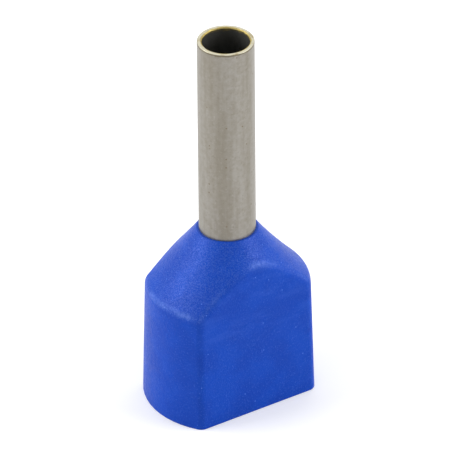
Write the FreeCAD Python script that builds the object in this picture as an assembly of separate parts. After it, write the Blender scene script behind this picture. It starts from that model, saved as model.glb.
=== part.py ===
"""Twin wire ferrule: a thin tinned sleeve held in a moulded collar that takes two insulated wires side by side.

Frame: the collar's open mouth stands on Z = 0, and +Z runs up the sleeve to its tip. The two wires lie side by
side along X, so the collar is long in X and its two flat faces look along +Y and -Y. Lengths are in millimetres.

The collar is a bullet with two flats: a body of revolution, nearly cylindrical below and conical above, cut by two
planes. Inside it, a pocket of the same form takes the wires' insulation, a funnel leads the bare strands inward,
and a trumpet-shaped seat holds the sleeve by its flare. The sleeve is one drawn tube, straight from its tip down
to the collar's nose and flared inside the collar.

Both pieces are drawn as half sections in the XZ plane and turned about Z.
"""

import math
import os

import FreeCAD
import Part

# Sleeve
BORE_DIAMETER = 1.80  # takes the strands of two 0.75 mm2 wires
SLEEVE_WALL = 0.15
SLEEVE_FREE_LENGTH = 8.0  # from the collar's nose to the tip
TIP_EDGE_RADIUS = 0.03  # both edges of the cut end
FLARE_ANGLE = 20.0  # between the end of the flare and the axis
FLARE_HEIGHT = 0.90
FLARE_BEND_RADIUS = 1.20  # outside of the bend that opens the tube into the flare

# Collar, outside
COLLAR_HEIGHT = 7.0
MOUTH_LENGTH = 6.33  # across the two round ends, at the mouth
MOUTH_WIDTH = 3.97  # across the two flats, at the mouth
SIDE_DRAFT = 1.4  # degrees that every side leans inward on its way up
NOSE_LAND = 0.09  # width of the level ring round the sleeve, before its edge is rounded
SHOULDER_ANGLE = 40.0  # between the shoulder's chord and the axis
SHOULDER_HOLLOW = 0.06  # how far the shoulder dips below its chord
CROWN_RADIUS = 0.50  # where the shoulder turns into the round ends
FLAT_EDGE_RADIUS = 0.36  # all round the outline of each flat
NOSE_EDGE_RADIUS = 0.03
MOUTH_EDGE_RADIUS = 0.04

# Collar, inside
POCKET_WALL = 0.50
POCKET_CORNER_RADIUS = 0.30  # where the pocket's flats meet its round ends
NECK_LENGTH = 0.12  # how deep the sleeve stays straight inside the nose
FUNNEL_ANGLE = 42.0  # between the funnel and the axis
MOUTH_LEAD_IN = 0.12

CUT_ALLOWANCE = 1.0  # how far a cutter runs past the face that it opens
SAME_PLACE = 1e-4  # points nearer to a plane than this lie in it

# Sizes that follow from those above
SLEEVE_RADIUS = BORE_DIAMETER / 2 + SLEEVE_WALL
TIP_Z = COLLAR_HEIGHT + SLEEVE_FREE_LENGTH
BEND_Z = COLLAR_HEIGHT - NECK_LENGTH

ORIGIN = FreeCAD.Vector(0, 0, 0)
Z_AXIS = FreeCAD.Vector(0, 0, 1)
SECTION_PLANE = Part.Plane(ORIGIN, FreeCAD.Vector(0, 1, 0))


def tangent(degrees):
    return math.tan(math.radians(degrees))


def at(radius, height):
    """A point of a half section."""
    return FreeCAD.Vector(radius, 0, height)


def line(start, end):
    return Part.LineSegment(start, end).toShape()


def corner_rounded(first, second, radius):
    """Two edges of a half section that meet in a corner, with the arc that rounds it between them."""
    fillet = Part.ChFi2d.FilletAPI()
    fillet.init(first, second, SECTION_PLANE)
    fillet.perform(radius)
    arc, first, second = fillet.result(first.lastVertex(True).Point)
    return [first, arc, second]


def turned(edges):
    """The solid that a closed half section sweeps about Z."""
    outline = Part.Wire(Part.__sortEdges__(edges))
    return Part.Face(outline).revolve(ORIGIN, Z_AXIS, 360)


def tube_surface(depth):
    """The section line of the sleeve at a depth below its outside, from the bend down to the flare's end."""
    angle = math.radians(FLARE_ANGLE)
    bend_centre = at(SLEEVE_RADIUS + FLARE_BEND_RADIUS, BEND_Z)
    straight_length = (FLARE_HEIGHT - FLARE_BEND_RADIUS * math.sin(angle)) / math.cos(angle)

    def on_bend(turn):
        return bend_centre - at(math.cos(turn), math.sin(turn)) * (FLARE_BEND_RADIUS + depth)

    bend_end = on_bend(angle)
    flare_end = bend_end + at(math.sin(angle), -math.cos(angle)) * straight_length
    bend = Part.Arc(on_bend(0), on_bend(angle / 2), bend_end).toShape()
    return [bend, line(bend_end, flare_end)], flare_end


def make_sleeve():
    """One tube of even wall, flared at its lower end and with both edges of its cut tip rounded."""
    outer_flare, outer_end = tube_surface(0)
    inner_flare, inner_end = tube_surface(SLEEVE_WALL)
    inner_radius = SLEEVE_RADIUS - SLEEVE_WALL
    edge_radius = min(TIP_EDGE_RADIUS, 0.4 * SLEEVE_WALL)
    outside = line(at(SLEEVE_RADIUS, BEND_Z), at(SLEEVE_RADIUS, TIP_Z))
    tip = line(at(SLEEVE_RADIUS, TIP_Z), at(inner_radius, TIP_Z))
    inside = line(at(inner_radius, TIP_Z), at(inner_radius, BEND_Z))
    outside, outer_edge, tip = corner_rounded(outside, tip, edge_radius)
    tip_and_inside = corner_rounded(tip, inside, edge_radius)
    flare_cut = line(outer_end, inner_end)
    return turned(outer_flare + [outside, outer_edge] + tip_and_inside + inner_flare + [flare_cut])


def flat_offset(mouth_width, height):
    """How far the plane of a flat is from the axis at a height, where the two are mouth_width apart at the mouth."""
    return mouth_width / 2 - height * tangent(SIDE_DRAFT)


def between_flats(mouth_width, bottom, top):
    """The space between the two leaning planes of the flats."""
    reach = MOUTH_LENGTH

    def corner(side, height):
        return FreeCAD.Vector(-reach, side * flat_offset(mouth_width, height), height)

    corners = [corner(-1, bottom), corner(1, bottom), corner(1, top), corner(-1, top)]
    section = Part.Face(Part.makePolygon(corners + corners[:1]))
    return section.extrude(FreeCAD.Vector(2 * reach, 0, 0))


def round_end(mouth_radius, height):
    """The point of the half section at a height on the leaning round end."""
    return at(mouth_radius - height * tangent(SIDE_DRAFT), height)


def cone_foot(tip, angle, mouth_radius):
    """Where a cone that widens downward from a tip point meets the round end."""
    widening = tangent(angle) - tangent(SIDE_DRAFT)
    drop = (round_end(mouth_radius, tip.z).x - tip.x) / widening
    return round_end(mouth_radius, tip.z - drop)


def lies_at_height(piece, height):
    """Whether a face or an edge lies in the level plane at a height."""
    box = piece.BoundBox
    return abs(box.ZMin - height) < SAME_PLACE and abs(box.ZMax - height) < SAME_PLACE


def edges_of_flats(shape, mouth_width):
    """The edges round both flats, apart from the level ones."""
    chosen = []
    for edge in shape.Edges:
        start, end = edge.ParameterRange
        points = [edge.valueAt(start + share * (end - start)) for share in (0.1, 0.5, 0.9)]
        in_flat = all(abs(abs(point.y) - flat_offset(mouth_width, point.z)) < SAME_PLACE for point in points)
        level = abs(points[0].z - points[1].z) < SAME_PLACE and abs(points[1].z - points[2].z) < SAME_PLACE
        if in_flat and not level:
            chosen.append(edge)
    return chosen


def make_outside():
    """The collar as a full body: a hollow-shouldered bullet with two flats, every edge rounded."""
    mouth_radius = MOUTH_LENGTH / 2
    nose = at(SLEEVE_RADIUS + NOSE_LAND, COLLAR_HEIGHT)
    crown = cone_foot(nose, SHOULDER_ANGLE, mouth_radius)
    chord = nose - crown
    inward = at(-chord.z, chord.x).normalize()
    shoulder_middle = (nose + crown) / 2 + inward * SHOULDER_HOLLOW
    end = line(at(mouth_radius, 0), crown)
    shoulder = Part.Arc(crown, shoulder_middle, nose).toShape()
    top = line(nose, at(0, COLLAR_HEIGHT))
    end, crown_arc, shoulder = corner_rounded(end, shoulder, CROWN_RADIUS)
    shoulder_and_top = corner_rounded(shoulder, top, min(NOSE_EDGE_RADIUS, 0.8 * NOSE_LAND))
    axis = line(at(0, COLLAR_HEIGHT), ORIGIN)
    mouth = line(ORIGIN, at(mouth_radius, 0))
    bullet = turned([mouth, end, crown_arc] + shoulder_and_top + [axis])
    body = bullet.common(between_flats(MOUTH_WIDTH, 0, COLLAR_HEIGHT))
    body = body.makeFillet(FLAT_EDGE_RADIUS, edges_of_flats(body, MOUTH_WIDTH))
    return body.makeFillet(MOUTH_EDGE_RADIUS, [edge for edge in body.Edges if lies_at_height(edge, 0)])


def make_pocket():
    """The space in the collar below the sleeve: the wires' pocket, the funnel and the opening under the flare."""
    mouth_radius = MOUTH_LENGTH / 2 - POCKET_WALL
    mouth_width = MOUTH_WIDTH - 2 * POCKET_WALL
    bottom = -CUT_ALLOWANCE
    flare_end = tube_surface(0)[1]
    foot = cone_foot(flare_end, FUNNEL_ANGLE, mouth_radius)
    bullet = turned(
        [
            line(at(0, bottom), round_end(mouth_radius, bottom)),
            line(round_end(mouth_radius, bottom), foot),
            line(foot, flare_end),
            line(flare_end, at(0, flare_end.z)),
            line(at(0, flare_end.z), at(0, bottom)),
        ]
    )
    space = bullet.common(between_flats(mouth_width, bottom, COLLAR_HEIGHT))
    corners = [edge for edge in edges_of_flats(space, mouth_width) if edge.BoundBox.ZMin < 0]
    return space.makeFillet(POCKET_CORNER_RADIUS, corners)


def make_seat():
    """The space that the sleeve takes in the collar, bore included."""
    flare, outer_end = tube_surface(0)
    inner_end = tube_surface(SLEEVE_WALL)[1]
    above_nose = COLLAR_HEIGHT + CUT_ALLOWANCE
    return turned(
        flare
        + [
            line(outer_end, inner_end),
            line(inner_end, at(0, inner_end.z)),
            line(at(0, inner_end.z), at(0, above_nose)),
            line(at(0, above_nose), at(SLEEVE_RADIUS, above_nose)),
            line(at(SLEEVE_RADIUS, above_nose), at(SLEEVE_RADIUS, BEND_Z)),
        ]
    )


def make_collar():
    """The moulded collar: its outside, less the pocket, the sleeve's seat and a lead-in round the mouth."""
    collar = make_outside().cut(make_pocket()).cut(make_seat())
    rim = next(face for face in collar.Faces if lies_at_height(face, 0))
    inner_outlines = [wire for wire in rim.Wires if not wire.isSame(rim.OuterWire)]
    return collar.makeChamfer(MOUTH_LEAD_IN, [edge for wire in inner_outlines for edge in wire.Edges])


def only_solid(shape):
    """The one solid of a shape. The build stops if there are more, or if it isn't sound."""
    if len(shape.Solids) != 1 or not shape.isValid():
        raise ValueError(f"expected one sound solid, found {len(shape.Solids)}")
    return shape.Solids[0]


if __name__ == "__main__":
    os.makedirs("parts", exist_ok=True)
    pieces = {"contact_sleeve": make_sleeve(), "insulating_collar": make_collar()}
    for name, shape in pieces.items():
        only_solid(shape).exportStep(f"parts/{name}.step")
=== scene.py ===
import math
import random

import bpy
from mathutils import Matrix, Vector


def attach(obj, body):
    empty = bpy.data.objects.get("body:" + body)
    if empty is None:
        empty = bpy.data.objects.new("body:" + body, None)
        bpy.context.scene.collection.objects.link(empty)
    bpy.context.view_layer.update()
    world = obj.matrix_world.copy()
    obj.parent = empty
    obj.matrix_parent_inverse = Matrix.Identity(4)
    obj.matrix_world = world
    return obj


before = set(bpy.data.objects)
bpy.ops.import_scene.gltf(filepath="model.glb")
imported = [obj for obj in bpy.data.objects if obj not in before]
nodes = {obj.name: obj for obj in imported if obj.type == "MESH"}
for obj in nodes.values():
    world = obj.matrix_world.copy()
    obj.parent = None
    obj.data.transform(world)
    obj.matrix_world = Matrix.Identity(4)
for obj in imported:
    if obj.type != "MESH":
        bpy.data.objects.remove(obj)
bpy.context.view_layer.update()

# Twin wire ferrule: a tinned sleeve in a blue moulded collar, standing on its mouth on a table.
# Blender works in metres. Names that end in _MM, and places inside the materials, are in
# millimetres.

scene = bpy.context.scene
scene.view_settings.view_transform = "Standard"

MM = 0.001

# Sizes of the CAD model, for the patterns that follow its form
BORE_RADIUS_MM = 0.90
TIP_MM = 15.0  # height of the sleeve's tip
NOSE_RADIUS_MM = 1.14
NOSE_HEIGHT_MM = 7.0
SHOULDER_ANGLE = math.radians(40)  # between the shoulder and the axis
FLAT_OFFSET_MM = 1.985  # from the axis to a flat, at the mouth
ROUND_END_RADIUS_MM = 3.165  # at the mouth
SIDE_SLOPE = math.tan(math.radians(1.4))  # every side leans inward on its way up

# Sockets of a Mix node that blends colours
MIX_FACTOR, MIX_FIRST, MIX_SECOND, MIX_RESULT = 0, 6, 7, 2

SPECK_CORE = 0.4  # how much of a speck's width has its full colour


class Nodes:
    """A node tree built step by step. A call returns the output socket of what it made."""

    def __init__(self, tree):
        self.tree = tree
        tree.nodes.clear()

    def put(self, value, socket):
        """Links a socket to the value where that is a socket too, and sets it otherwise."""
        if isinstance(value, bpy.types.NodeSocket):
            self.tree.links.new(value, socket)
        else:
            socket.default_value = value

    def node(self, kind, inputs, **settings):
        """A new node itself, with the given inputs and settings."""
        made = self.tree.nodes.new(kind)
        for key, value in settings.items():
            setattr(made, key, value)
        for key, value in inputs.items():
            self.put(value, made.inputs[key])
        return made

    def show(self, shader, output_kind="ShaderNodeOutputMaterial"):
        self.node(output_kind, {"Surface": shader})

    # Numbers

    def single(self, operation, value):
        return self.node("ShaderNodeMath", {0: value}, operation=operation).outputs[0]

    def pair(self, operation, first, second):
        return self.node("ShaderNodeMath", {0: first, 1: second}, operation=operation).outputs[0]

    def total(self, value, *others):
        for other in others:
            value = self.pair("ADD", value, other)
        return value

    def product(self, first, second):
        return self.pair("MULTIPLY", first, second)

    def difference(self, first, second):
        return self.pair("SUBTRACT", first, second)

    def larger(self, first, second):
        return self.pair("MAXIMUM", first, second)

    def ramp(self, value, start, end, at_start=0.0, at_end=1.0):
        """Goes smoothly from at_start to at_end while the value goes from start to end."""
        inputs = {
            "Value": value,
            "From Min": start,
            "From Max": end,
            "To Min": at_start,
            "To Max": at_end,
        }
        made = self.node("ShaderNodeMapRange", inputs, interpolation_type="SMOOTHSTEP")
        return made.outputs["Result"]

    # Places

    def millimetres(self):
        """The point on the object, in millimetres."""
        place = self.tree.nodes.new("ShaderNodeTexCoord").outputs["Object"]
        inputs = {0: place, "Scale": 1 / MM}
        return self.node("ShaderNodeVectorMath", inputs, operation="SCALE").outputs["Vector"]

    def coordinates(self, place):
        """The y and the height of a place, and its distance from the axis."""
        x, y, height = self.node("ShaderNodeSeparateXYZ", {0: place}).outputs
        squares = self.total(self.product(x, x), self.product(y, y))
        return y, height, self.single("SQRT", squares)

    def moved(self, place, stretch=(1, 1, 1), shift=(0, 0, 0)):
        inputs = {"Vector": place, "Scale": stretch, "Location": shift}
        return self.node("ShaderNodeMapping", inputs).outputs[0]

    # Patterns

    def noise(self, place, scale, detail, roughness):
        inputs = {"Vector": place, "Scale": scale, "Detail": detail, "Roughness": roughness}
        return self.node("ShaderNodeTexNoise", inputs).outputs["Fac"]

    def specks(self, place, scale, share, size):
        """Round specks in a given share of the cells of a grid, each size of a cell wide."""
        cells = self.node("ShaderNodeTexVoronoi", {"Vector": place, "Scale": scale})
        dots = self.ramp(cells.outputs["Distance"], start=size, end=SPECK_CORE * size)
        draw = self.node("ShaderNodeSeparateColor", {0: cells.outputs["Color"]}).outputs[0]
        return self.product(dots, self.pair("LESS_THAN", draw, share))

    # Colours and surfaces

    def blend(self, factor, first, second):
        inputs = {MIX_FACTOR: factor, MIX_FIRST: first, MIX_SECOND: second}
        return self.node("ShaderNodeMix", inputs, data_type="RGBA").outputs[MIX_RESULT]

    def bump(self, height, distance_mm, strength=1.0, **normal):
        """A normal that follows a height. The keyword Normal gives the normal to start from."""
        inputs = {"Height": height, "Distance": distance_mm * MM, "Strength": strength, **normal}
        return self.node("ShaderNodeBump", inputs).outputs["Normal"]

    def principled(self, **inputs):
        """The Principled shader. Its inputs are named as its sockets, with _ for each space."""
        named = {key.replace("_", " "): value for key, value in inputs.items()}
        return self.node("ShaderNodeBsdfPrincipled", named).outputs[0]


def new_material(name):
    material = bpy.data.materials.new(name)
    material.use_nodes = True
    return material, Nodes(material.node_tree)


def colour(red, green, blue):
    return (red, green, blue, 1.0)


WHITE = colour(1, 1, 1)

# Sleeve: drawn copper tube with a tin plating and a bright cut at the tip; a reflection band, shade
# under the rim and shade deep in the dull bore are painted
TIN_DULL = colour(0.248, 0.226, 0.186)
TIN_BRIGHT = colour(0.348, 0.332, 0.302)
TIN_LIGHT_GRAIN = colour(0.43, 0.41, 0.37)
TIN_DARK_GRAIN = colour(0.17, 0.15, 0.12)
TIN_SPECK = colour(0.20, 0.16, 0.11)
# The dark band just under the rim is painted shade
TIN_RIM_SHADE = colour(0.14, 0.11, 0.06)
# Deep in the bore the colour is painted darker as shade
BORE_DEEP_SHADE = colour(0.19, 0.19, 0.18)
BORE_EDGE = colour(0.56, 0.45, 0.16)
CUT_TIN = colour(0.63, 0.60, 0.46)
CUT_COPPER = colour(0.40, 0.32, 0.16)

STREAKS_SHARE = 0.22  # of the tone of the tin
# The broad band is a painted reflection, a light stripe down the tin
REFLECTION_BAND_SHARE = 0.50
CLOUDS_SHARE = 0.28
GRAIN_COVER = 0.35  # how much of the tin a light or dark grain hides
RIM_SHADE_COVER = 0.80
BORE_RAGGEDNESS = 2.0  # of the bright edge's border, against the other borders
BORE_EXTRA_ROUGHNESS = 0.10
TIN_BUMP_MM = 0.004
TIN_BUMP_STRENGTH = 0.6


def tin_colour(made, place, streaks, grain):
    """The outside of the tube: tones along its length with a painted reflection band among them,
    fine grain and a few dark specks.
    """
    # A broad noise stretched along the tube, shifted round it so that its bright stripe paints a
    # reflection band
    reflection_band_place = made.moved(place, stretch=(1, 1, 0.07), shift=(2.6, 7.3, 0))
    reflection_band = made.noise(reflection_band_place, scale=1.3, detail=2.0, roughness=0.5)
    clouds = made.noise(place, scale=5.5, detail=3.0, roughness=0.6)
    tone_and_reflection = made.total(
        made.product(streaks, STREAKS_SHARE),
        made.product(reflection_band, REFLECTION_BAND_SHARE),
        made.product(clouds, CLOUDS_SHARE),
    )
    light_grain = made.ramp(grain, start=0.55, end=0.75, at_end=GRAIN_COVER)
    dark_grain = made.ramp(grain, start=0.45, end=0.25, at_end=GRAIN_COVER)
    specks = made.specks(place, scale=5.0, share=0.10, size=0.22)
    # Dull to bright tin along the tone, which carries the painted reflection band
    tin = made.blend(made.ramp(tone_and_reflection, start=0.34, end=0.66), TIN_DULL, TIN_BRIGHT)
    tin = made.blend(light_grain, tin, TIN_LIGHT_GRAIN)
    tin = made.blend(dark_grain, tin, TIN_DARK_GRAIN)
    return made.blend(specks, tin, TIN_SPECK)


def make_tinned_copper():
    material, made = new_material("tinned_copper")
    place = made.millimetres()
    _, height, radius = made.coordinates(place)
    drawn_place = made.moved(place, stretch=(1, 1, 0.05))
    streaks = made.noise(drawn_place, scale=7.0, detail=3.0, roughness=0.6)
    grain = made.noise(place, scale=11.0, detail=3.0, roughness=0.65)
    torn = made.noise(place, scale=3.5, detail=3.0, roughness=0.7)
    ragged = made.ramp(torn, start=0.3, end=0.7, at_start=-0.02, at_end=0.02)  # in millimetres

    inside = made.ramp(
        made.total(radius, ragged), start=BORE_RADIUS_MM + 0.045, end=BORE_RADIUS_MM + 0.015
    )
    outside = made.difference(1.0, inside)
    rim = made.ramp(height, start=TIP_MM - 0.022, end=TIP_MM - 0.006)
    below_rim = made.difference(1.0, rim)

    # Painted shade: a dark band just below the rim, all round the tube
    rim_shade = made.ramp(made.total(height, ragged), start=TIP_MM - 0.10, end=TIP_MM - 0.05)
    rim_shade = made.product(made.product(rim_shade, below_rim), RIM_SHADE_COVER)
    tube = made.blend(rim_shade, tin_colour(made, place, streaks, grain), TIN_RIM_SHADE)

    # Painted shade: the bore darkens away from its bright edge near the tip
    torn_height = made.total(height, made.product(ragged, BORE_RAGGEDNESS))
    near_tip = made.ramp(torn_height, start=TIP_MM - 0.17, end=TIP_MM - 0.03)
    bore = made.blend(near_tip, BORE_DEEP_SHADE, BORE_EDGE)

    bare = made.noise(place, scale=2.2, detail=3.0, roughness=0.6)
    cut = made.blend(made.ramp(bare, start=0.52, end=0.70), CUT_TIN, CUT_COPPER)

    base = made.blend(inside, tube, bore)
    base = made.blend(made.product(rim, outside), base, cut)
    roughness = made.ramp(grain, start=0.3, end=0.7, at_start=0.36, at_end=0.50)
    roughness = made.total(roughness, made.product(inside, BORE_EXTRA_ROUGHNESS))
    normal = made.bump(streaks, TIN_BUMP_MM, TIN_BUMP_STRENGTH)
    normal = made.bump(grain, TIN_BUMP_MM, TIN_BUMP_STRENGTH, Normal=normal)
    made.show(
        made.principled(Base_Color=base, Metallic=1.0, Roughness=roughness, Normal=normal)
    )
    return material


# Collar: blue polypropylene with the fine texture of its mould, lighter along its upper
# edges from rubbing and a painted highlight, with glitter and painted sparkle on the shoulder
BLUE_DEEP = colour(0.0010, 0.052, 0.438)
BLUE_PALE = colour(0.0015, 0.062, 0.488)
BLUE_FINE_GRAIN = colour(0.040, 0.130, 0.600)
# Light specks on the shoulder are painted sparkle, beside the glitter's metal
BLUE_PAINTED_SPARKLE = colour(0.14, 0.22, 0.62)
# Scuffs on the upper edges, lightened further as a painted highlight
BLUE_SCUFF_AND_HIGHLIGHT = colour(0.12, 0.23, 0.70)
BLUE_HAZE = colour(0.022, 0.095, 0.540)
BLUE_SPECK = colour(0.09, 0.22, 0.75)

EDGE_RUB_AND_HIGHLIGHT_DEPTH_MM = 0.11  # under the corner that the unrounded faces would make
EDGE_FULL_DEPTH_MM = 0.02
SIDE_GLITTER_AND_SPARKLE = 0.15  # against 1 on the shoulder
PAINTED_SPARKLE_COVER = 0.36
GLITTER_METAL = 0.24
GLITTER_SMOOTHING = 0.12
PLASTIC_BUMP_MM = 0.010


def collar_zones(made, place):
    """How far a place belongs to a rubbed and highlit upper edge, the shoulder and a flat's upper
    half.

    Each is a share from 0 to 1.
    """
    y, height, radius = made.coordinates(place)
    lean = made.product(height, SIDE_SLOPE)
    flat = made.difference(FLAT_OFFSET_MM, lean)
    below_flat = made.difference(flat, made.single("ABSOLUTE", y))
    round_end = made.difference(ROUND_END_RADIUS_MM, lean)
    below_end = made.difference(round_end, radius)
    below_nose = made.difference(NOSE_HEIGHT_MM, height)
    cone = made.total(NOSE_RADIUS_MM, made.product(below_nose, math.tan(SHOULDER_ANGLE)))
    below_shoulder = made.product(made.difference(cone, radius), math.cos(SHOULDER_ANGLE))

    def rubbed_and_highlit_edge(below_side, side_weight):
        """Where the shoulder meets a side."""
        depth = made.larger(made.product(below_side, side_weight), below_shoulder)
        return made.ramp(depth, start=EDGE_RUB_AND_HIGHLIGHT_DEPTH_MM, end=EDGE_FULL_DEPTH_MM)

    # The arch's light mark is fullest near its top, where the painted highlight is strongest
    arch_height = made.ramp(height, start=4.4, end=5.6, at_start=0.2)
    arch = made.product(rubbed_and_highlit_edge(below_flat, side_weight=0.5), arch_height)
    clear_of_flat = made.ramp(below_flat, start=0.10, end=0.55)
    crown = made.product(rubbed_and_highlit_edge(below_end, side_weight=0.7), clear_of_flat)
    shoulder = made.ramp(below_shoulder, start=0.17, end=0.04)
    on_flat = made.ramp(below_flat, start=0.10, end=0.02)
    upper_flat = made.product(on_flat, made.ramp(height, start=2.4, end=4.0))
    return made.larger(arch, crown), shoulder, upper_flat


def make_blue_plastic():
    material, made = new_material("blue_plastic")
    place = made.millimetres()
    rubbed_and_highlit, shoulder, upper_flat = collar_zones(made, place)

    grain = made.noise(place, scale=7.0, detail=4.0, roughness=0.65)
    fine = made.noise(place, scale=17.0, detail=2.0, roughness=0.6)
    cloud = made.noise(place, scale=0.9, detail=2.0, roughness=0.5)
    glints = made.noise(place, scale=24.0, detail=2.0, roughness=0.7)
    # Glitter flakes with a little metal, and painted sparkle in the colour, mostly on the upward
    # shoulder
    glitter_and_sparkle = made.product(
        made.ramp(glints, start=0.40, end=0.74),
        made.ramp(shoulder, start=0.0, end=1.0, at_start=SIDE_GLITTER_AND_SPARKLE),
    )
    worn_place = made.moved(place, shift=(2.1, 0.9, 2.3))
    worn = made.ramp(
        made.noise(worn_place, scale=0.8, detail=1.0, roughness=0.5), start=0.40, end=0.60
    )
    # Light scuffs on the arch and the crown, lightened further as a painted highlight
    scratches = made.noise(place, scale=9.0, detail=3.0, roughness=0.7)
    scuff_and_highlight = made.ramp(scratches, start=0.30, end=0.70, at_start=0.20, at_end=0.70)
    scuff_and_highlight = made.product(made.product(rubbed_and_highlit, scuff_and_highlight), worn)
    level_place = made.moved(place, stretch=(0.4, 0.4, 1.6))
    haze = made.noise(level_place, scale=1.6, detail=5.0, roughness=0.65)
    haze = made.product(made.ramp(haze, start=0.46, end=0.70, at_end=0.40), upper_flat)

    base = made.blend(made.ramp(cloud, start=0.35, end=0.65), BLUE_DEEP, BLUE_PALE)
    base = made.blend(made.ramp(fine, start=0.52, end=0.78, at_end=0.5), base, BLUE_FINE_GRAIN)
    # Painted sparkle: light specks in the colour
    base = made.blend(made.product(glitter_and_sparkle, PAINTED_SPARKLE_COVER), base, BLUE_PAINTED_SPARKLE)
    base = made.blend(scuff_and_highlight, base, BLUE_SCUFF_AND_HIGHLIGHT)
    base = made.blend(haze, base, BLUE_HAZE)
    specks = made.specks(place, scale=7.0, share=0.05, size=0.20)
    base = made.blend(specks, base, BLUE_SPECK)

    roughness = made.ramp(grain, start=0.3, end=0.7, at_start=0.38, at_end=0.52)
    normal = made.bump(fine, PLASTIC_BUMP_MM, Normal=made.bump(grain, PLASTIC_BUMP_MM))
    made.show(
        made.principled(
            Base_Color=base,
            Metallic=made.product(glitter_and_sparkle, GLITTER_METAL),
            Roughness=made.difference(roughness, made.product(glitter_and_sparkle, GLITTER_SMOOTHING)),
            Specular_IOR_Level=0.14,
            Subsurface_Weight=0.10,
            Subsurface_Radius=(0.2, 0.35, 1.0),
            Subsurface_Scale=0.25 * MM,
            Normal=normal,
        )
    )
    return material


def dress(node_name, material):
    mesh = nodes[node_name].data
    mesh.materials.clear()
    mesh.materials.append(material)


tinned_copper = make_tinned_copper()
dress("contact_sleeve", tinned_copper)
dress("insulating_collar", make_blue_plastic())


# Burr: the ragged lip that the cut left round the bore's edge, deepest on one side
BURR_SEED = 7
BURR_STEPS = 240
BURR_WAVES = (3, 5, 8, 13, 21, 34)  # how often each wave goes up and down round the edge
BURR_DEEPEST = math.radians(95)
BURR_LEAST_MM = 0.004
BURR_EVEN_MM = 0.006
BURR_SIDE_MM = 0.024  # more at the deepest side
BURR_RIPPLE_MM = 0.030
BURR_QUIET = 0.35  # share of the ripple that is left opposite the deepest side
BURR_DROOP = 0.4  # how much the lip sinks as it gets deeper
BURR_ROOT_TOP_MM = (0.022, 0.014)  # into the wall and below the tip
BURR_LIP_DROP_MM = 0.030
BURR_ROOT_LOW_MM = (0.015, 0.075)


def burr_depth(angle, waves):
    """How far the lip stands into the bore at an angle round the axis, in millimetres."""
    ripple = sum(size * math.sin(count * angle + phase) for count, phase, size in waves)
    ripple /= len(waves)
    side = 0.5 + 0.5 * math.cos(angle - BURR_DEEPEST)
    unrest = BURR_QUIET + (1 - BURR_QUIET) * side
    depth = BURR_EVEN_MM + BURR_SIDE_MM * side + BURR_RIPPLE_MM * ripple * unrest
    return max(BURR_LEAST_MM, depth)


def make_burr():
    draw = random.Random(BURR_SEED)
    waves = [(count, draw.uniform(0, math.tau), draw.uniform(0.5, 1.0)) for count in BURR_WAVES]
    points, faces = [], []
    for step in range(BURR_STEPS):
        angle = math.tau * step / BURR_STEPS
        depth = burr_depth(angle, waves)
        section = (
            (BORE_RADIUS_MM + BURR_ROOT_TOP_MM[0], TIP_MM - BURR_ROOT_TOP_MM[1]),
            (BORE_RADIUS_MM - depth, TIP_MM - BURR_LIP_DROP_MM - BURR_DROOP * depth),
            (BORE_RADIUS_MM + BURR_ROOT_LOW_MM[0], TIP_MM - BURR_ROOT_LOW_MM[1] - depth),
        )
        for radius, height in section:
            x, y = radius * math.cos(angle), radius * math.sin(angle)
            points.append((x * MM, y * MM, height * MM))
        corners = len(section)
        here, following = corners * step, corners * ((step + 1) % BURR_STEPS)
        for first in range(corners):
            second = (first + 1) % corners
            faces.append((here + second, here + first, following + first, following + second))
    mesh = bpy.data.meshes.new("tip_burr")
    mesh.from_pydata(points, [], faces)
    for face in mesh.polygons:
        face.use_smooth = True
    mesh.materials.append(tinned_copper)
    burr = bpy.data.objects.new("tip_burr", mesh)
    scene.collection.objects.link(burr)
    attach(burr, "root")


make_burr()


# Table: a pale plane that keeps the part's shadow
TABLE_HALF = 2.0
TABLE_COLOUR = colour(0.80, 0.80, 0.80)
TABLE_LIFT = 0.30  # brings the plane up to white where the camera or a reflection sees it


def make_table():
    mesh = bpy.data.meshes.new("table")
    corners = [(x * TABLE_HALF, y * TABLE_HALF, 0) for x, y in ((-1, -1), (1, -1), (1, 1), (-1, 1))]
    mesh.from_pydata(corners, [], [(0, 1, 2, 3)])
    table = bpy.data.objects.new("table", mesh)
    scene.collection.objects.link(table)
    material, made = new_material("white_table")
    matt = made.principled(Base_Color=TABLE_COLOUR, Roughness=0.9, Specular_IOR_Level=0.0)
    path = made.tree.nodes.new("ShaderNodeLightPath").outputs
    seen = made.larger(path["Is Camera Ray"], path["Is Glossy Ray"])
    seen = made.larger(seen, path["Is Transmission Ray"])
    glow = {"Color": WHITE, "Strength": made.product(seen, TABLE_LIFT)}
    lift = made.node("ShaderNodeEmission", glow).outputs[0]
    made.show(made.node("ShaderNodeAddShader", {0: matt, 1: lift}).outputs[0])
    mesh.materials.append(material)


make_table()


# Camera: the photograph's viewing angle
FRAME_PIXELS = 455
CAMERA_TURN = 33.217  # degrees round the part, towards its left
CAMERA_ELEVATION = 32.876
CAMERA_ROLL = 0.5135
PIXELS_PER_MM = 27.0805  # at the origin's depth
FOCAL_PIXELS = 11206.0
ORIGIN_PIXEL = (228.754, 385.1665)  # where the origin falls in the frame
SENSOR_WIDTH = 36  # millimetres, as Blender has it
CLIP_START, CLIP_END = 0.01, 20

UPWARD = Vector((0, 0, 1))
turn, rise, roll = (
    math.radians(angle) for angle in (CAMERA_TURN, CAMERA_ELEVATION, CAMERA_ROLL)
)
away = Vector((math.sin(turn), math.cos(turn), 0))
level = Vector((math.cos(turn), -math.sin(turn), 0))


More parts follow.
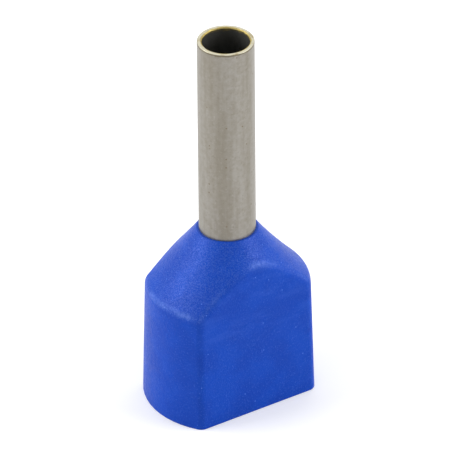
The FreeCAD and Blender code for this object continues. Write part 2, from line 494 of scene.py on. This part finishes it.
def make_camera():
    forward = away * math.cos(rise) - UPWARD * math.sin(rise)
    upright = away * math.sin(rise) + UPWARD * math.cos(rise)
    right = level * math.cos(roll) - upright * math.sin(roll)
    up = level * math.sin(roll) + upright * math.cos(roll)
    distance = FOCAL_PIXELS / PIXELS_PER_MM
    across = (ORIGIN_PIXEL[0] - FRAME_PIXELS / 2) / PIXELS_PER_MM
    above = (FRAME_PIXELS / 2 - ORIGIN_PIXEL[1]) / PIXELS_PER_MM
    place = (right * -across - up * above - forward * distance) * MM

    data = bpy.data.cameras.new("camera")
    data.sensor_width = SENSOR_WIDTH
    data.lens = FOCAL_PIXELS / FRAME_PIXELS * SENSOR_WIDTH
    data.clip_start = CLIP_START
    data.clip_end = CLIP_END
    camera = bpy.data.objects.new("camera", data)
    turned = Matrix((right, up, -forward)).transposed().to_4x4()
    camera.matrix_world = Matrix.Translation(place) @ turned
    scene.collection.objects.link(camera)
    scene.camera = camera


make_camera()


# World: a pale dome, dimmer on the camera's side
DIM_SIDE = tuple(away * -0.82 + UPWARD * 0.57)
DIM_STRENGTH = 0.46
FULL_STRENGTH = 0.85


def make_world():
    world = bpy.data.worlds.new("studio")
    world.use_nodes = True
    scene.world = world
    made = Nodes(world.node_tree)
    direction = made.tree.nodes.new("ShaderNodeTexCoord").outputs["Generated"]
    inputs = {0: direction, 1: DIM_SIDE}
    toward_dim = made.node("ShaderNodeVectorMath", inputs, operation="DOT_PRODUCT").outputs["Value"]
    strength = made.ramp(
        toward_dim, start=0.85, end=-0.35, at_start=DIM_STRENGTH, at_end=FULL_STRENGTH
    )
    light = made.node("ShaderNodeBackground", {"Color": WHITE, "Strength": strength}).outputs[0]
    made.show(light, "ShaderNodeOutputWorld")


make_world()


# Lights: a softbox on either side and one behind, all turned to the foot of the sleeve
LIGHT_AIM_MM = Vector((0, 0, 7))


def softbox(name, degrees_right, elevation, distance_mm, side_mm, radiance):
    """A square light, so many degrees to the right of the camera. A radiance of 1 is white."""
    around, height = math.radians(degrees_right), math.radians(elevation)
    toward = level * math.sin(around) - away * math.cos(around)
    toward = toward * math.cos(height) + UPWARD * math.sin(height)
    data = bpy.data.lights.new(name, "AREA")
    data.shape = "SQUARE"
    data.size = side_mm * MM
    data.energy = radiance * math.pi * data.size**2
    light = bpy.data.objects.new(name, data)
    light.location = (LIGHT_AIM_MM + toward * distance_mm) * MM
    light.rotation_mode = "QUATERNION"
    light.rotation_quaternion = toward.to_track_quat("Z", "Y")
    scene.collection.objects.link(light)


softbox("left_softbox", degrees_right=-86, elevation=28, distance_mm=120, side_mm=70, radiance=5.7)
softbox("right_softbox", degrees_right=80, elevation=28, distance_mm=120, side_mm=70, radiance=5.2)
softbox("back_softbox", degrees_right=180, elevation=62, distance_mm=130, side_mm=90, radiance=1.0)
